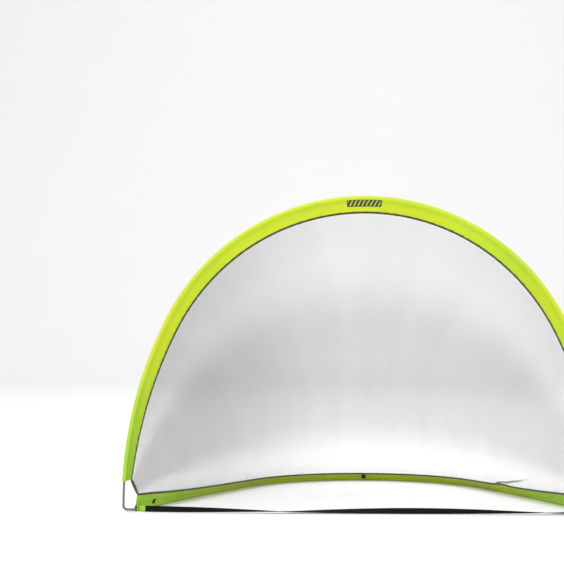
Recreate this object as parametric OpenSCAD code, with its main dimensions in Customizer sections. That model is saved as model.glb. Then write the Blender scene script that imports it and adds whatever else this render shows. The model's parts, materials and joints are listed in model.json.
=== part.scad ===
// Pop-up ball goal: one springy rod loop bent into a standing front arch and a ground arc, both in
// fabric sleeves, with a net stretched between them and a webbing strap across the mouth.
// +Z is up, +X is to the right seen from the front, and the mouth faces -Y.

/* [Arch] */
// Width of the mouth between the rod's centre lines at the feet
mouth_w = 1214; // [1190:2:1240]
// Overall height, to the top of the front sleeve
arch_h = 795; // [760:5:840]
// Radius of the rod's centre line over the top of the arch
top_r = 555; // [520:5:565]
// Height of the front sleeve's hem above the ground
hem_h = 77; // [60:1:100]
// How far the front sleeve leans back from the mouth's plane at the top, in degrees
lean_top = 22; // [10:1:30]
// How far it has turned back at its hems, in degrees
lean_foot = 70; // [50:1:74]

/* [Ground arc] */
// Depth from the mouth to the rod's centre line at the back
depth = 740; // [700:5:745]
// Radius of the rod's centre line round the back
rear_r = 385; // [380:5:440]
// Angle from the X axis at which the back's curve passes into the straighter sides
rear_join = 29; // [24:1:34]
// Radius, seen from above, of the rod's bend from each foot into the ground arc
corner_r = 17; // [16:0.5:20]
// How far inside the arch's foot the ground sleeve's hem is
hem_inset = 30; // [28:0.5:31]
// Slope of the ground sleeve at the back, in degrees above the ground
slope_rear = 26; // [15:1:35]
// Slope of the ground sleeve at its hems, in degrees above the ground
slope_hem = 79; // [74:1:80]

/* [Rod and sleeves] */
// Radius of the rod
rod_r = 3; // [2.5:0.25:3]
// Centre-line radius of the tight bend at each foot
foot_bend_r = 10; // [9:0.5:12]
// Outer radius of a sleeve where it wraps the rod
sleeve_r = 5.5; // [5.5:0.1:6]
// Width of a sleeve from the rod's side to the seam
sleeve_w = 42; // [36:1:50]
// Thickness of the sleeve fabric
sleeve_t = 0.9; // [0.8:0.05:1]
// Width of the dark tape along the net's edges
binding_w = 4.5; // [3:0.5:6]

/* [Net] */
// Thickness of the net
net_t = 1.2; // [1:0.1:2]
// Fullness of the net's inward curve, as a share of its span
net_handle = 0.33; // [0.25:0.01:0.4]

/* [Webbing] */
// Width of the strap across the mouth
strap_w = 15; // [12:1:20]
// Thickness of the webbing
webbing_t = 1.5; // [1:0.1:2]
// Turn of the strap between its ends, in degrees
strap_twist = 300; // [180:5:360]
// Inner radius of a peg loop
peg_hole_r = 6; // [4:0.5:7]
// Width of the peg loops' tape
loop_w = 12; // [8:1:15]

/* [Hidden] */

lime = [0.80, 0.88, 0.12];
dark_tape = [0.14, 0.16, 0.08];
black = [0.04, 0.04, 0.05];
rod_grey = [0.20, 0.20, 0.22];
net_grey = [0.35, 0.35, 0.38, 0.5];

$fn = 48;
PER_DEG = PI / 180;
// Clearance left between pieces that touch on the real object
gap = 0.2;
// Stations along each sleeve, and rows across the net
STATIONS = 80;
ROWS = 14;

// The rod lies on the ground inside its sleeve
half_w = mouth_w / 2;
ground_z = sleeve_r;
hole_r = sleeve_r - sleeve_t;

// Arch outline: a top arc of top_r and a side arc that meets it and ends upright at the foot
foot_z = ground_z + foot_bend_r;
top_z = arch_h - sleeve_r - top_r;
rise = top_z - foot_z;
side_r = (half_w * half_w - top_r * top_r + rise * rise) / (2 * (half_w - top_r));
side_c = side_r - half_w;
top_sweep = 90 - atan2(rise, side_c);
top_len = top_r * top_sweep * PER_DEG;
hem_turn = 90 - asin((hem_h - foot_z) / side_r);
arch_len = top_len + side_r * (hem_turn - top_sweep) * PER_DEG;

// Straight runs of both rods at each foot, on the line about which the arch folds
stub_len = 3;
corner_x = half_w - foot_bend_r - 2 * (stub_len + gap);

// Ground outline: a rear arc, a flatter side arc that meets it, and a small corner arc that bends
// the other way and ends in line with the foot
rear_c = [0, depth - rear_r];
corner_c = [corner_x, corner_r];
join_way = [cos(rear_join), sin(rear_join)];
from_rear = corner_c - rear_c;
reach = from_rear * join_way;
flank_r = (from_rear * from_rear + rear_r * rear_r - corner_r * corner_r - 2 * rear_r * reach)
    / (2 * (rear_r + corner_r - reach));
flank_c = rear_c - (flank_r - rear_r) * join_way;
corner_turn = asin((corner_r - flank_c.y) / (flank_r + corner_r));
hem_bend = acos((corner_x - half_w + hem_inset) / corner_r);
rear_len = rear_r * (90 - rear_join) * PER_DEG;
flank_len = rear_len + flank_r * (rear_join - corner_turn) * PER_DEG;
ground_len = flank_len + corner_r * (hem_bend - corner_turn) * PER_DEG;

// Peg loops: a ring of tape with a short neck, this far from the rod's line to the ring's centre
loop_neck = 4;
eye_r = peg_hole_r + webbing_t;
eye_out = sleeve_r + gap + loop_neck + eye_r;
// How far in front of the mouth's plane the strap's middle lies
strap_front = 16;
// The mouth's plane, set so that the whole goal is centred on the origin
mouth_y = -(depth + eye_out + eye_r - strap_front - strap_w / 2) / 2;

// A point, turn and inward direction on the arch, at a distance d along the rod from its top
function arch_turn(d) = abs(d) <= top_len ? abs(d) / top_r / PER_DEG
    : top_sweep + (abs(d) - top_len) / side_r / PER_DEG;
function arch_at(d) = let (a = arch_turn(d))
    abs(d) <= top_len ? [sign(d) * top_r * sin(a), mouth_y, top_z + top_r * cos(a)]
    : [sign(d) * (side_r * sin(a) - side_c), mouth_y, foot_z + side_r * cos(a)];
function arch_in(d) = let (a = arch_turn(d)) [-sign(d) * sin(a), 0, -cos(a)];
function arch_way(d) = let (a = arch_turn(d)) [cos(a), 0, -sign(d) * sin(a)];

// The sleeve leans further back towards the feet, as the net pulls it there
foot_cos = cos(hem_turn);
lean_soft = (tan(lean_top) - tan(lean_foot) * foot_cos) / (tan(lean_foot) - tan(lean_top));
function arch_lean(d) = atan(tan(lean_top) * (1 + lean_soft) / (cos(arch_turn(d)) + lean_soft));
function arch_across(d) = cos(arch_lean(d)) * arch_in(d) + sin(arch_lean(d)) * [0, 1, 0];

// The same on the ground arc, at a distance d along the rod from its back
function ground_turn(d) = let (e = abs(d)) e <= rear_len ? e / rear_r / PER_DEG
    : e <= flank_len ? 90 - rear_join + (e - rear_len) / flank_r / PER_DEG
    : 90 - corner_turn - (e - flank_len) / corner_r / PER_DEG;
function ground_at(d) = let (a = ground_turn(d), e = abs(d),
        c = e <= rear_len ? rear_c : e <= flank_len ? flank_c : corner_c,
        r = e <= rear_len ? rear_r : e <= flank_len ? flank_r : -corner_r)
    [sign(d) * (c.x + r * sin(a)), mouth_y + c.y + r * cos(a), ground_z];
function ground_in(d) = let (a = ground_turn(d)) [-sign(d) * sin(a), -cos(a), 0];
function ground_way(d) = let (a = ground_turn(d)) [cos(a), -sign(d) * sin(a), 0];
// The ground sleeve stands up at the hems and lies down behind them
slope_fade = 200;
function ground_slope(d) = slope_rear
    + (slope_hem - slope_rear) * exp(-(ground_len - abs(d)) / slope_fade);
function ground_across(d) = cos(ground_slope(d)) * ground_in(d) + sin(ground_slope(d)) * [0, 0, 1];

// Places a flat profile, given as [across, out] points, at a point with a path direction
function placed(profile, at, way, across) = let (out = cross(way, across))
    [for (p = profile) at + p.x * across + p.y * out];
function arch_ring(profile, d) = placed(profile, arch_at(d), arch_way(d), arch_across(d));
function ground_ring(profile, d) = placed(profile, ground_at(d), ground_way(d), ground_across(d));
// Station k of count along a length from -len to len, closer together towards both ends
function along(len, k, count) = let (u = 2 * k / count - 1)
    len * sign(u) * (1 - pow(1 - abs(u), 1.5));

// Side faces of a swept profile of n points over a number of rings
function wall(rings, n, base = 0, inward = false) =
    [for (i = [0:rings - 2], k = [0:n - 1])
        let (a = base + i * n + k, b = base + i * n + (k + 1) % n, c = b + n, d = a + n)
        each inward ? [[a, b, c], [a, c, d]] : [[c, b, a], [d, c, a]]];
// End faces of a profile whose second half runs back beside its first half
function flat_end(n, base, last) =
    [for (k = [0:n / 2 - 2])
        let (a = base + k, b = a + 1, c = base + n - 2 - k, d = c + 1)
        each last ? [[c, b, a], [d, c, a]] : [[a, b, c], [a, c, d]]];
// End faces between an outer and an inner profile of n points each
function open_end(n, outer, inner, last) =
    [for (k = [0:n - 1])
        let (a = outer + k, b = outer + (k + 1) % n, c = inner + (k + 1) % n, d = inner + k)
        each last ? [[c, b, a], [d, c, a]] : [[a, b, c], [a, c, d]]];

module swept(rings) {
    n = len(rings[0]);
    m = len(rings);
    polyhedron(points = [for (ring = rings) each ring],
        faces = concat(wall(m, n), flat_end(n, 0, false), flat_end(n, (m - 1) * n, true)));
}

module swept_tube(outer, inner) {
    n = len(outer[0]);
    m = len(outer);
    polyhedron(points = concat([for (ring = outer) each ring], [for (ring = inner) each ring]),
        faces = concat(wall(m, n), wall(m, n, m * n, true),
            open_end(n, 0, m * n, false), open_end(n, (m - 1) * n, (2 * m - 1) * n, true)));
}

// A sleeve's cross-section: round where it wraps the rod, then a flat pocket down to its seam
seam = sleeve_w - sleeve_r;
function pocket(r, tail, half_t) = concat(
    [for (a = [105:15:255]) [r * cos(a), r * sin(a)]],
    [[2.4 * sleeve_r, -half_t], [tail, -half_t], [tail, half_t], [2.4 * sleeve_r, half_t]]);
sleeve_outside = pocket(sleeve_r, seam, 1.3);
sleeve_inside = pocket(hole_r, seam - sleeve_t, 1.3 - sleeve_t);
// A flat strip from one distance across to another, with a half thickness
function strip(from, to, half_t) = [[from, -half_t], [to, -half_t], [to, half_t], [from, half_t]];
binding_half_t = 1.5;
binding_edge = seam + gap + binding_w;
net_edge = binding_edge + net_t / 2 + 3 * gap;

// An arc of rod in the XY plane about the origin
module rod_arc(r, from, to, tube = rod_r) {
    rotate([0, 0, from]) rotate_extrude(angle = to - from, $fn = 180)
        translate([r, 0]) circle(r = tube);
}

// A thin crimped collar that ties two arcs of rod together, at a point, with a tilt and a heading
collar_len = 3;
collar_r = rod_r + 0.3;
module collar(at, tilt, heading) {
    translate(at) rotate([0, tilt, heading]) cylinder(h = collar_len, r = collar_r, center = true);
}

module both_sides() {
    children();
    mirror([1, 0, 0]) children();
}

module arch_rod() {
    color(rod_grey) {
        translate([0, mouth_y, top_z]) rotate([90, 0, 0])
            rod_arc(top_r, 90 - top_sweep, 90 + top_sweep);
        both_sides() {
            translate([-side_c, mouth_y, foot_z]) rotate([90, 0, 0]) rod_arc(side_r, 0, 90 - top_sweep);
            translate([half_w - foot_bend_r, mouth_y, foot_z]) rotate([90, 0, 0])
                rod_arc(foot_bend_r, -90, 0);
            translate([half_w - foot_bend_r - stub_len, mouth_y, ground_z]) rotate([0, 90, 0])
                cylinder(h = stub_len, r = rod_r);
            collar(arch_at(top_len), 90 + top_sweep, 0);
            collar([half_w, mouth_y, foot_z], 0, 0);
            collar([half_w - foot_bend_r, mouth_y, ground_z], 90, 0);
        }
    }
}

// The rod's two ends meet in the ferrule, on the right of the ground arc's back
ferrule_at = 55;
ferrule_r = 3.9;
ferrule_sweep = 9;
end_gap = 0.15;
module ground_rod() {
    color(rod_grey) translate([0, mouth_y, ground_z]) {
        translate(rear_c) rod_arc(rear_r, rear_join, ferrule_at - end_gap);
        translate(rear_c) rod_arc(rear_r, ferrule_at + end_gap, 180 - rear_join);
        both_sides() {
            translate(flank_c) rod_arc(flank_r, corner_turn, rear_join);
            translate(corner_c) rod_arc(corner_r, corner_turn - 180, -90);
            translate([corner_x, 0, 0]) rotate([0, 90, 0]) cylinder(h = stub_len, r = rod_r);
            collar(rear_c + rear_r * join_way, 90, rear_join - 90);
            collar(corner_c - corner_r * [cos(corner_turn), sin(corner_turn)], 90, corner_turn - 90);
            collar([corner_x, 0], 90, 0);
        }
    }
}

module rod_ferrule() {
    color("silver") translate([rear_c.x, mouth_y + rear_c.y, ground_z])
        rotate([0, 0, ferrule_at - ferrule_sweep / 2])
        rotate_extrude(angle = ferrule_sweep, $fn = 180) translate([rear_r, 0])
        difference() {
            circle(r = ferrule_r);
            circle(r = rod_r + 0.1);
        }
}

module front_sleeve() {
    color(lime) swept_tube(
        [for (k = [0:STATIONS]) arch_ring(sleeve_outside, along(arch_len, k, STATIONS))],
        [for (k = [0:STATIONS]) arch_ring(sleeve_inside, along(arch_len, k, STATIONS))]);
}

module ground_sleeve() {
    color(lime) swept_tube(
        [for (k = [0:STATIONS]) ground_ring(sleeve_outside, along(ground_len, k, STATIONS))],
        [for (k = [0:STATIONS]) ground_ring(sleeve_inside, along(ground_len, k, STATIONS))]);
}

module front_binding() {
    profile = strip(seam + gap, binding_edge, binding_half_t);
    color(dark_tape)
        swept([for (k = [0:STATIONS]) arch_ring(profile, along(arch_len, k, STATIONS))]);
}

module ground_binding() {
    profile = strip(seam + gap, binding_edge, binding_half_t);
    color(dark_tape)
        swept([for (k = [0:STATIONS]) ground_ring(profile, along(ground_len, k, STATIONS))]);
}

// The net's sheet: at each station a curve that leaves both bindings in line with the sleeves.
// Towards the open corners it is pulled straight.
function net_point(s, t) =
    let (da = s * arch_len, dg = s * ground_len,
        a = arch_at(da) + net_edge * arch_across(da),
        g = ground_at(dg) + net_edge * ground_across(dg),
        pull = net_handle * norm(g - a) * (1 - 0.9 * pow(abs(s), 24)),
        b = a + pull * arch_across(da), c = g + pull * ground_across(dg), q = 1 - t)
    q * q * q * a + 3 * q * q * t * b + 3 * q * t * t * c + t * t * t * g;
STEP = 0.002;
function net_normal(s, t) =
    let (s0 = max(s - STEP, -1), s1 = min(s + STEP, 1), t0 = max(t - STEP, 0), t1 = min(t + STEP, 1),
        n = cross(net_point(s1, t) - net_point(s0, t), net_point(s, t1) - net_point(s, t0)))
    n / norm(n);
function net_ring(s) = concat(
    [for (j = [0:ROWS]) net_point(s, j / ROWS) - net_t / 2 * net_normal(s, j / ROWS)],
    [for (j = [ROWS:-1:0]) net_point(s, j / ROWS) + net_t / 2 * net_normal(s, j / ROWS)]);

module net() {
    color(net_grey) swept([for (k = [0:STATIONS]) net_ring(along(1, k, STATIONS))]);
}

// Dark tape along the net's short slanting edge at a corner, on the side given by -1 or 1
CORNER_STEPS = 16;
function corner_ring(side, t) =
    let (at = net_point(side, t), way = net_point(side, t + STEP) - net_point(side, t - STEP),
        normal = net_normal(side, t), edge = side * cross(way, normal) / norm(way))
    [for (p = strip(gap, gap + binding_w, binding_half_t)) at + p.x * edge + side * p.y * normal];
module corner_binding(side) {
    color(black)
        swept([for (k = [0:CORNER_STEPS]) corner_ring(side, 0.88 - 0.72 * k / CORNER_STEPS)]);
}
module left_corner_binding() { corner_binding(-1); }
module right_corner_binding() { corner_binding(1); }

// A patch that lies on a sleeve, on its out side or its in side. near holds [across, out] points
// just clear of the sleeve, from the rod towards the seam.
function patch_profile(near, thick, side) = side > 0
    ? concat(near, [for (k = [len(near) - 1:-1:0]) near[k] + [0, thick]])
    : concat([for (p = near) [p.x, -p.y - thick]],
        [for (k = [len(near) - 1:-1:0]) [near[k].x, -near[k].y]]);

// The strap lies along the mouth, a little in front of it, and turns as it goes
STRAP_STEPS = 48;
strap_half = half_w - hem_inset - 25;
strap_end_y = mouth_y - 2;
strap_start_turn = 80;
function strap_ring(f) =
    let (turn = strap_start_turn + strap_twist * f, x = strap_half * (2 * f - 1),
        y = mouth_y - strap_front + (strap_end_y - mouth_y + strap_front) * pow(2 * f - 1, 6),
        z = 0.3 * strap_w + 0.25 * strap_w * abs(sin(turn)),
        wide = [0, cos(turn), sin(turn)], thin = [0, -sin(turn), cos(turn)])
    [for (p = strip(-strap_w / 2, strap_w / 2, webbing_t / 2)) [x, y, z] + p.x * wide + p.y * thin];
module mouth_strap() {
    color(black) swept([for (k = [0:STRAP_STEPS]) strap_ring(k / STRAP_STEPS)]);
}

// A folded tab of sleeve fabric, spread along the sleeve's inner face beside its hem and drawn
// together at the end of the strap
tab_d = ground_len - 14;
tab_half_l = 9;
tab_half_t = 1.6;
tab_h = 15;
tab_face = [for (k = [-3:3]) let (d = tab_d + tab_half_l * k / 3)
    let (p = ground_at(d) + (sleeve_r + 2 * gap) * ground_in(d)) [p.x, p.y]];
module right_strap_anchor() {
    color(lime) linear_extrude(height = tab_h) polygon(concat(tab_face,
        [for (side = [-1, 1]) [strap_half + gap, strap_end_y + side * tab_half_t]]));
}
module left_strap_anchor() { mirror([1, 0, 0]) right_strap_anchor(); }

// A loop of tape for a ground peg. It stands on the ground on edge, outside the rod.
module peg_loop(at, heading) {
    neck = sleeve_r + gap;
    color(black) translate([at.x, at.y, 0]) rotate([0, 0, heading]) {
        difference() {
            union() {
                translate([eye_out, 0, 0]) cylinder(h = loop_w, r = eye_r);
                translate([neck, -webbing_t, 0])
                    cube([eye_out - peg_hole_r - webbing_t / 2 - neck, 2 * webbing_t, loop_w]);
            }
            translate([eye_out, 0, -1]) cylinder(h = loop_w + 2, r = peg_hole_r);
        }
    }
}

side_loop_d = ground_len - 82;
module left_peg_loop() { peg_loop(ground_at(-side_loop_d), 90 + ground_turn(side_loop_d)); }
module right_peg_loop() { peg_loop(ground_at(side_loop_d), 90 - ground_turn(side_loop_d)); }
module rear_peg_loop() { peg_loop(ground_at(0), 90); }

// A strip of tape on the sleeve's inner face, where a loop is sewn through, up to far from the rod
module loop_patch(d, far) {
    profile = patch_profile([[8, 3.6], [13.2, 1.9], [far, 1.9]], webbing_t, 1);
    color(black) swept([for (k = [-1:1]) ground_ring(profile, d + k * loop_w / 2)]);
}
module left_loop_patch() { loop_patch(-side_loop_d, 20); }
module right_loop_patch() { loop_patch(side_loop_d, 20); }
module rear_loop_patch() { loop_patch(0, 34); }

// A plain woven patch on the front of the sleeve at the top of the arch
PATCH_STEPS = 8;
patch_half_l = 45;
top_patch_near = [[3, sleeve_r - 0.3], [6, 4.2], [13.2, 1.6], [22, 1.6]];
module top_patch() {
    profile = patch_profile(top_patch_near, 0.8, -1);
    color(black)
        swept([for (k = [0:PATCH_STEPS]) arch_ring(profile, along(patch_half_l, k, PATCH_STEPS))]);
}

ground_rod();
rod_ferrule();
ground_sleeve();
ground_binding();
net();
left_corner_binding();
right_corner_binding();
mouth_strap();
left_strap_anchor();
right_strap_anchor();
left_peg_loop();
right_peg_loop();
rear_peg_loop();
left_loop_patch();
right_loop_patch();
rear_loop_patch();
arch_rod();
front_sleeve();
front_binding();
top_patch();
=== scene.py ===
"""The looks of a pop-up ball goal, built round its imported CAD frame.

Fabric, tape, webbing and net are mesh pieces along the same curves as the CAD; the rod and its
ferrule keep their CAD shapes. All lengths are in metres.
"""

import json
import math

import bpy
import numpy as np
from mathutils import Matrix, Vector


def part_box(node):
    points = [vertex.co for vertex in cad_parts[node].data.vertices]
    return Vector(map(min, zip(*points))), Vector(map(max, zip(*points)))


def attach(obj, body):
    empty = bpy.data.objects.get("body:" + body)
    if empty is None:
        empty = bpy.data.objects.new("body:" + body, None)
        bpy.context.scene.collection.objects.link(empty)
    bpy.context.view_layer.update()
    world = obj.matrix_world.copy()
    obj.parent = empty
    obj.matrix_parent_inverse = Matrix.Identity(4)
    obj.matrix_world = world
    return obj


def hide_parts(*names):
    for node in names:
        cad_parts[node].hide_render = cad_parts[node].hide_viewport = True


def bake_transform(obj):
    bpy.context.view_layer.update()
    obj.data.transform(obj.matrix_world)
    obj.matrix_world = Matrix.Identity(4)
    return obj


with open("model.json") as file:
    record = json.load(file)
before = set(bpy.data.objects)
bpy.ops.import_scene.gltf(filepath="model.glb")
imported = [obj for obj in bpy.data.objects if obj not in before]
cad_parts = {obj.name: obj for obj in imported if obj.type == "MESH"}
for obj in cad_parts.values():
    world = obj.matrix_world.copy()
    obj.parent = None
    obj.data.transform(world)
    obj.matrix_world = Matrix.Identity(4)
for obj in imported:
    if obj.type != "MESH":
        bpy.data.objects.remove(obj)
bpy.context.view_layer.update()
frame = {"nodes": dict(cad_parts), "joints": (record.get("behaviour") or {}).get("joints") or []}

# ---------------------------------------------------------------- the CAD's dimensions
HALF_W = 0.607
TOP_R = 0.555
HEM_H = 0.077
LEAN_TOP, LEAN_FOOT = math.radians(22), math.radians(70)
DEPTH = 0.740
REAR_R = 0.385
REAR_JOIN = math.radians(29)
HEM_INSET, CORNER_R, STUB_LEN = 0.030, 0.017, 0.003
SLOPE_REAR, SLOPE_HEM, SLOPE_FADE = math.radians(26), math.radians(79), 0.200
# Where a fold of the net draws the ground sleeve up on the right, by what angle and over what length
FOLD_D, FOLD_RISE, FOLD_REACH = 0.560, math.radians(5), 0.035
SLEEVE_R = 0.0055
SEAM = 0.042 - SLEEVE_R
FOOT_BEND_R = 0.010
GAP = 0.0002
BINDING_W = 0.0045
NET_EDGE = SEAM + BINDING_W + 2 * GAP
NET_HANDLE = 0.33
WEBBING_T = 0.0015
LOOP_W = 0.012
EYE_R = 0.006 + WEBBING_T

MOUTH_Y = frame["joints"][0]["pos_m"][1]
ARCH_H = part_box("front_sleeve")[1].z
GROUND_Z = SLEEVE_R
FOOT_Z = GROUND_Z + FOOT_BEND_R
TOP_Z = ARCH_H - SLEEVE_R - TOP_R
RISE = TOP_Z - FOOT_Z
SIDE_R = (HALF_W**2 - TOP_R**2 + RISE**2) / (2 * (HALF_W - TOP_R))
SIDE_C = SIDE_R - HALF_W
TOP_SWEEP = math.pi / 2 - math.atan2(RISE, SIDE_C)
TOP_LEN = TOP_R * TOP_SWEEP
HEM_TURN = math.pi / 2 - math.asin((HEM_H - FOOT_Z) / SIDE_R)
ARCH_LEN = TOP_LEN + SIDE_R * (HEM_TURN - TOP_SWEEP)
FOOT_COS = math.cos(HEM_TURN)
LEAN_SOFT = (math.tan(LEAN_TOP) - math.tan(LEAN_FOOT) * FOOT_COS) / (
    math.tan(LEAN_FOOT) - math.tan(LEAN_TOP))

CORNER_C = np.array([HALF_W - FOOT_BEND_R - 2 * (STUB_LEN + GAP), CORNER_R])
REAR_C = np.array([0, DEPTH - REAR_R])
JOIN_WAY = np.array([math.cos(REAR_JOIN), math.sin(REAR_JOIN)])
FROM_REAR = CORNER_C - REAR_C
REACH = FROM_REAR @ JOIN_WAY
FLANK_R = (FROM_REAR @ FROM_REAR + REAR_R**2 - CORNER_R**2 - 2 * REAR_R * REACH) / (
    2 * (REAR_R + CORNER_R - REACH))
FLANK_C = REAR_C - (FLANK_R - REAR_R) * JOIN_WAY
CORNER_TURN = math.asin((CORNER_R - FLANK_C[1]) / (FLANK_R + CORNER_R))
HEM_BEND = math.acos((CORNER_C[0] - HALF_W + HEM_INSET) / CORNER_R)
REAR_LEN = REAR_R * (math.pi / 2 - REAR_JOIN)
FLANK_LEN = REAR_LEN + FLANK_R * (REAR_JOIN - CORNER_TURN)
GROUND_LEN = FLANK_LEN + CORNER_R * (HEM_BEND - CORNER_TURN)

UP = np.array([0.0, 0.0, 1.0])
BACK = np.array([0.0, 1.0, 0.0])


# ---------------------------------------------------------------- the curves both share
def stack(x, y, z):
    return np.stack(np.broadcast_arrays(x, y, z), -1).astype(float)


def arch(d):
    """Points, path directions, directions across the sleeve and out of it, at distances d from the top."""
    d = np.asarray(d, float)
    far, side = np.abs(d), np.sign(d)
    on_top = far <= TOP_LEN
    a = np.where(on_top, far / TOP_R, TOP_SWEEP + (far - TOP_LEN) / SIDE_R)
    at = np.where(on_top[..., None],
                  stack(side * TOP_R * np.sin(a), MOUTH_Y, TOP_Z + TOP_R * np.cos(a)),
                  stack(side * (SIDE_R * np.sin(a) - SIDE_C), MOUTH_Y, FOOT_Z + SIDE_R * np.cos(a)))
    inward = stack(-side * np.sin(a), 0, -np.cos(a))
    way = stack(np.cos(a), 0, -side * np.sin(a))
    lean = np.arctan(math.tan(LEAN_TOP) * (1 + LEAN_SOFT) / (np.cos(a) + LEAN_SOFT))[..., None]
    across = np.cos(lean) * inward + np.sin(lean) * BACK
    return at, way, across, np.cross(way, across)


def ground(d):
    """The same along the ground arc, at distances d from its back."""
    d = np.asarray(d, float)
    far, side = np.abs(d), np.sign(d)
    part = [far <= REAR_LEN, far <= FLANK_LEN]
    a = np.select(part, [far / REAR_R, math.pi / 2 - REAR_JOIN + (far - REAR_LEN) / FLANK_R],
                  math.pi / 2 - CORNER_TURN - (far - FLANK_LEN) / CORNER_R)
    c_x, c_y = (np.select(part, [REAR_C[i], FLANK_C[i]], CORNER_C[i]) for i in (0, 1))
    r = np.select(part, [REAR_R, FLANK_R], -CORNER_R)
    at = stack(side * (c_x + r * np.sin(a)), MOUTH_Y + c_y + r * np.cos(a), GROUND_Z)
    inward = stack(-side * np.sin(a), -np.cos(a), 0)
    way = stack(np.cos(a), -side * np.sin(a), 0)
    slope = SLOPE_REAR + (SLOPE_HEM - SLOPE_REAR) * np.exp(-(GROUND_LEN - far) / SLOPE_FADE)
    slope = (slope + FOLD_RISE * np.exp(-((d - FOLD_D) / FOLD_REACH) ** 2))[..., None]
    across = np.cos(slope) * inward + np.sin(slope) * UP
    return at, way, across, np.cross(way, across)


def along(length, count):
    """Distances from -length to length, closer together towards both ends, as in the CAD."""
    u = np.linspace(-1, 1, count)
    return length * np.sign(u) * (1 - (1 - np.abs(u)) ** 1.5)


def ripple(x, lengths, seed):
    """A smooth, repeatable unevenness of about unit size, made of waves of the given lengths."""
    rng = np.random.default_rng(seed)
    total = 0
    for length in lengths:
        total = total + rng.uniform(0.6, 1) * np.sin(2 * math.pi * x / length + rng.uniform(0, 6.28))
    return total / math.sqrt(len(lengths))


def smooth(x, low, high):
    t = np.clip((np.asarray(x, float) - low) / (high - low), 0, 1)
    return t * t * (3 - 2 * t)


# ---------------------------------------------------------------- meshes
def add_mesh(name, points, faces, uvs=None, **values):
    """A smooth-shaded object. uvs is one (u, v) for each face corner; values are floats for each point."""
    mesh = bpy.data.meshes.new(name)
    mesh.from_pydata([tuple(p) for p in np.asarray(points, float).reshape(-1, 3)], [],
                     [tuple(int(i) for i in f) for f in faces])
    if uvs is not None:
        layer = mesh.uv_layers.new(name="Cloth")
        layer.data.foreach_set("uv", np.asarray(uvs, np.float32).ravel())
    for key, value in values.items():
        attribute = mesh.attributes.new(key, "FLOAT", "POINT")
        attribute.data.foreach_set("value", np.asarray(value, np.float32).ravel())
    mesh.polygons.foreach_set("use_smooth", [True] * len(mesh.polygons))
    mesh.validate()
    mesh.update()
    made = bpy.data.objects.new(name, mesh)
    bpy.context.scene.collection.objects.link(made)
    return made


def grid(rows, cols, first=0, wrap=False, flip=False):
    """Quads over a rows by cols grid of points, as an array of corners."""
    r = np.arange(rows - 1)[:, None]
    c = np.arange(cols if wrap else cols - 1)[None, :]
    nxt = (c + 1) % cols
    quads = np.stack([r * cols + c, r * cols + nxt, (r + 1) * cols + nxt, (r + 1) * cols + c], -1)
    quads = quads.reshape(-1, 4) + first
    return quads[:, ::-1] if flip else quads


def grid_uv(u, v, wrap=False, flip=False):
    """The (u, v) of each corner of those quads. With wrap, v has one more value than the grid has columns."""
    rows = np.arange(len(u) - 1)[:, None]
    cols = np.arange(len(v) - 1)[None, :]
    order = [(0, 0), (0, 1), (1, 1), (1, 0)]
    corners = [np.stack(np.broadcast_arrays(u[rows + a], v[cols + b]), -1) for a, b in order]
    corners = np.stack(corners, 2).reshape(-1, 4, 2)
    return (corners[:, ::-1] if flip else corners).reshape(-1, 2)


def around(profile):
    """Distance along a closed profile, starting and ending at its first point."""
    steps = np.linalg.norm(np.diff(np.vstack([profile, profile[:1]]), axis=0), axis=1)
    return np.concatenate([[0], np.cumsum(steps)])


def placed(profile, at, way, across, out):
    """Rings of a flat profile of (across, out) points along a path. profile may differ at each station."""
    profile = np.asarray(profile, float)
    if profile.ndim == 2:
        profile = np.broadcast_to(profile, (len(at),) + profile.shape)
    return (at[:, None] + profile[..., 0:1] * across[:, None] + profile[..., 1:2] * out[:, None])


def solid_sweep(name, rings, u, profile, **values):
    """A closed solid: rings of one closed profile, with flat ends. u is the distance along the path."""
    count, n = rings.shape[:2]
    faces = [*grid(count, n, wrap=True), range(n)[::-1], range((count - 1) * n, count * n)]
    ends = [[u[0] + p[0], p[1]] for p in profile[::-1]] + [[u[-1] + p[0], p[1]] for p in profile]
    uvs = np.vstack([grid_uv(np.asarray(u), around(profile)), ends])
    return add_mesh(name, rings, faces, uvs, **values)


def strip_profile(low, high, half_t, round_by=0.5, steps=3):
    """A flat strip from low to high across, with rounded long edges."""
    reach = half_t * 2 * round_by
    turn = np.linspace(-math.pi / 2, math.pi / 2, 2 * steps + 1)
    right = np.stack([high - reach + reach * np.cos(turn), half_t * np.sin(turn)], -1)
    left = np.stack([low + reach - reach * np.cos(turn), -half_t * np.sin(turn)], -1)
    inner = np.linspace(low + reach, high - reach, 6)[1:-1]
    top = np.stack([inner[::-1], np.full(4, half_t)], -1)
    bottom = np.stack([inner, np.full(4, -half_t)], -1)
    return np.vstack([right, top, left, bottom])


def stitch_mesh(name, centres, ways, normals, length, thick):
    """Short, plump stitches of thread, one at each centre, lying along ways and standing on normals."""
    centres, ways, normals = (np.asarray(x, float).reshape(-1, 3) for x in (centres, ways, normals))
    ways = ways / np.linalg.norm(ways, axis=1, keepdims=True)
    sides = np.cross(normals, ways)
    sides = sides / np.linalg.norm(sides, axis=1, keepdims=True)
    ups = np.cross(ways, sides)
    shape = [(-0.5, 0.25, -0.4), (-0.3, 0.9, 0.35), (0.0, 1.0, 0.6), (0.3, 0.9, 0.35), (0.5, 0.25, -0.4)]
    turns = np.linspace(0, 2 * math.pi, 6, endpoint=False)
    rings = []
    for place, wide, high in shape:
        middle = centres + ways * place * length + ups * high * thick / 2
        for turn in turns:
            rings.append(middle + (sides * math.cos(turn) + ups * math.sin(turn)) * wide * thick / 2)
    points = np.stack(rings, 1)
    count, n = len(shape), len(turns)
    one = [*grid(count, n, wrap=True), range(n)[::-1], range((count - 1) * n, count * n)]
    faces = [[i + k * count * n for i in f] for k in range(len(centres)) for f in one]
    return add_mesh(name, points, faces)


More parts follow.
